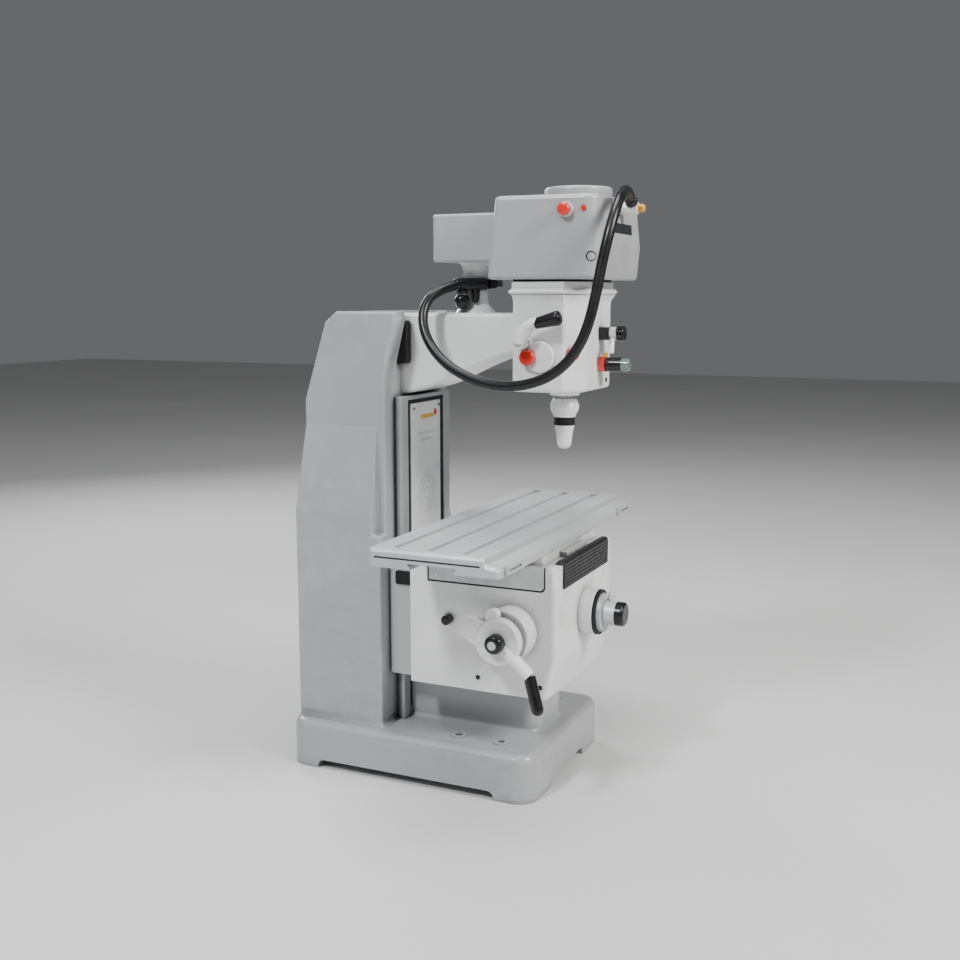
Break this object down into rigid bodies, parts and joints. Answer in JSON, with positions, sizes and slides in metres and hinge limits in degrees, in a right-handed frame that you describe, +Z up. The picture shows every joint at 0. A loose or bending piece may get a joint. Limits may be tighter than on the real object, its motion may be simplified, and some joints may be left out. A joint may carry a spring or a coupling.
{
  "type": "benchtop milling machine",
  "caption": "Benchtop knee milling machine: column, belt-driven spindle head, side crank that lifts the knee, and a cross slide carrying a long T-slotted table.",
  "frame": {"origin": "middle of the base's footprint, on the bench", "axes": "+Z up, +X to the operator's right along the table, +Y from the operator to the column"},
  "size_m": [0.54, 0.498, 0.85],
  "materials": {
    "grey_paint": "satin",
    "white_paint": "satin",
    "light_iron": "ground",
    "steel": "ground",
    "brass": "machined",
    "black_plastic": "satin",
    "black_rubber": "matte",
    "red_plastic": "gloss",
    "pale_plastic": "satin",
    "yellow_plastic": "gloss",
    "dark_window": "gloss",
    "smoky_plastic": "gloss"
  },
  "bodies": {
    "frame": {"base_casting": "grey_paint", "column_casting": "grey_paint", "column_way": "light_iron", "way_panel": "white_paint", "column_seals": "black_rubber", "lift_nut": "brass", "ram": "white_paint", "head_casting": "white_paint", "head_ring": "white_paint", "housing_gasket": "black_rubber", "belt_housing": "grey_paint", "housing_cap": "grey_paint", "housing_window": "dark_window", "indicator_lamps": "red_plastic", "rear_housing": "grey_paint", "motor_post": "white_paint", "motor_clamp": "black_plastic", "hose_elbow": "white_paint", "elbow_cap": "yellow_plastic", "coolant_hose": "black_rubber", "estop_collar": "pale_plastic", "front_clamp": "black_plastic", "selector_collar": "red_plastic", "drive_belt": "black_rubber"},
    "clamp_knob": {"clamp_knob": "black_plastic"},
    "drive_pulley": {"drive_pulley": "steel"},
    "motor": {"motor_pulley": "steel"},
    "quill": {"quill": "steel", "quill_bearings": "steel"},
    "spindle": {"spindle": "steel", "drawbar": "steel", "collet_nut": "white_paint", "nose_ring": "black_plastic", "tool_holder": "white_paint"},
    "feed": {"feed_lever": "white_paint", "feed_grip": "black_plastic", "feed_pinion": "steel"},
    "lock_knob": {"lock_knob": "red_plastic"},
    "start_button": {"start_button": "red_plastic"},
    "estop_button": {"estop_button": "red_plastic"},
    "clamp_lever": {"clamp_lever": "white_paint"},
    "selector": {"selector_knob": "black_plastic", "selector_tip": "smoky_plastic"},
    "knee": {"knee_casting": "white_paint", "knee_covers": "grey_paint", "knee_seals": "black_rubber", "way_cover": "black_rubber", "crank_bearing": "white_paint", "cross_bearing": "white_paint"},
    "lift_screw": {"lift_screw": "steel"},
    "lift_crank": {"lift_crank": "white_paint", "crank_grips": "black_plastic", "crank_shaft": "steel"},
    "saddle": {"saddle": "white_paint", "cross_nut": "brass"},
    "cross_screw": {"cross_screw": "steel"},
    "cross_knob": {"cross_shaft": "light_iron", "cross_cap": "black_plastic"},
    "table": {"table": "light_iron", "stop_dogs": "light_iron"}
  },
  "joints": [
    {"name": "clamp_knob_turn", "type": "hinge", "parent": "frame", "child": "clamp_knob", "pos_m": [-0.032, -0.04, 0.693], "axis": [0, 0, 1], "range_deg": [-170, 170]},
    {"name": "quill_feed", "type": "slide", "parent": "frame", "child": "quill", "axis": [0, 0, 1], "range_m": [-0.023, 0], "stiffness_N_per_m": 200, "springref_m": 0.12},
    {"name": "spindle_spin", "type": "hinge", "parent": "quill", "child": "spindle", "pos_m": [0, -0.187, 0.55], "axis": [0, 0, 1], "continuous": true},
    {"name": "pulley_spin", "type": "hinge", "parent": "frame", "child": "drive_pulley", "pos_m": [0, -0.187, 0.78], "axis": [0, 0, 1], "continuous": true},
    {"name": "motor_spin", "type": "hinge", "parent": "frame", "child": "motor", "pos_m": [0, -0.047, 0.78], "axis": [0, 0, 1], "continuous": true},
    {"name": "feed_lever_turn", "type": "hinge", "parent": "frame", "child": "feed", "pos_m": [-0.107, -0.161, 0.637], "axis": [1, 0, 0], "range_deg": [0, 200]},
    {"name": "lock_turn", "type": "hinge", "parent": "frame", "child": "lock_knob", "pos_m": [-0.095, -0.1665, 0.619], "axis": [1, 0, 0], "range_deg": [0, 90]},
    {"name": "start_press", "type": "slide", "parent": "frame", "child": "start_button", "axis": [0.5145, 0.8575, 0], "range_m": [0, 0.002], "stiffness_N_per_m": 500},
    {"name": "estop_press", "type": "slide", "parent": "frame", "child": "estop_button", "axis": [1, 0, 0], "range_m": [0, 0.0035], "stiffness_N_per_m": 900},
    {"name": "clamp_lever_turn", "type": "hinge", "parent": "frame", "child": "clamp_lever", "pos_m": [0.009, -0.2565, 0.65], "axis": [0, 1, 0], "range_deg": [0, 90]},
    {"name": "selector_turn", "type": "hinge", "parent": "frame", "child": "selector", "pos_m": [0.004, -0.25, 0.607], "axis": [0, 1, 0], "range_deg": [-60, 60]},
    {"name": "knee_lift", "type": "slide", "parent": "frame", "child": "knee", "axis": [0, 0, 1], "range_m": [-0.05, 0.075]},
    {"name": "screw_turn", "type": "hinge", "parent": "knee", "child": "lift_screw", "pos_m": [0, -0.1205, 0.238], "axis": [0, 0, 1], "range_deg": [-4550, 6800]},
    {"name": "crank_turn", "type": "hinge", "parent": "knee", "child": "lift_crank", "pos_m": [-0.16, -0.156, 0.238], "axis": [1, 0, 0], "range_deg": [-4550, 6800]},
    {"name": "saddle_cross", "type": "slide", "parent": "knee", "child": "saddle", "axis": [0, 1, 0], "range_m": [-0.012, 0.038]},
    {"name": "cross_screw_turn", "type": "hinge", "parent": "knee", "child": "cross_screw", "pos_m": [0, -0.2, 0.299], "axis": [0, 1, 0], "range_deg": [-1100, 3450]},
    {"name": "cross_knob_turn", "type": "hinge", "parent": "knee", "child": "cross_knob", "pos_m": [0, -0.25, 0.249], "axis": [0, 1, 0], "range_deg": [-2650, 850]},
    {"name": "table_travel", "type": "slide", "parent": "saddle", "child": "table", "axis": [1, 0, 0], "range_m": [-0.12, 0.12]}
  ],
  "couplings": [
    {"joint": "pulley_spin", "follows": "spindle_spin", "ratio": 1},
    {"joint": "motor_spin", "follows": "spindle_spin", "ratio": 1.8182},
    {"joint": "feed_lever_turn", "follows": "quill_feed", "rad_per_m": -151.51},
    {"joint": "screw_turn", "follows": "knee_lift", "rad_per_m": 1570.8},
    {"joint": "crank_turn", "follows": "knee_lift", "rad_per_m": 1570.8},
    {"joint": "cross_screw_turn", "follows": "saddle_cross", "rad_per_m": 1570.8},
    {"joint": "cross_knob_turn", "follows": "saddle_cross", "rad_per_m": -1194.9}
  ]
}
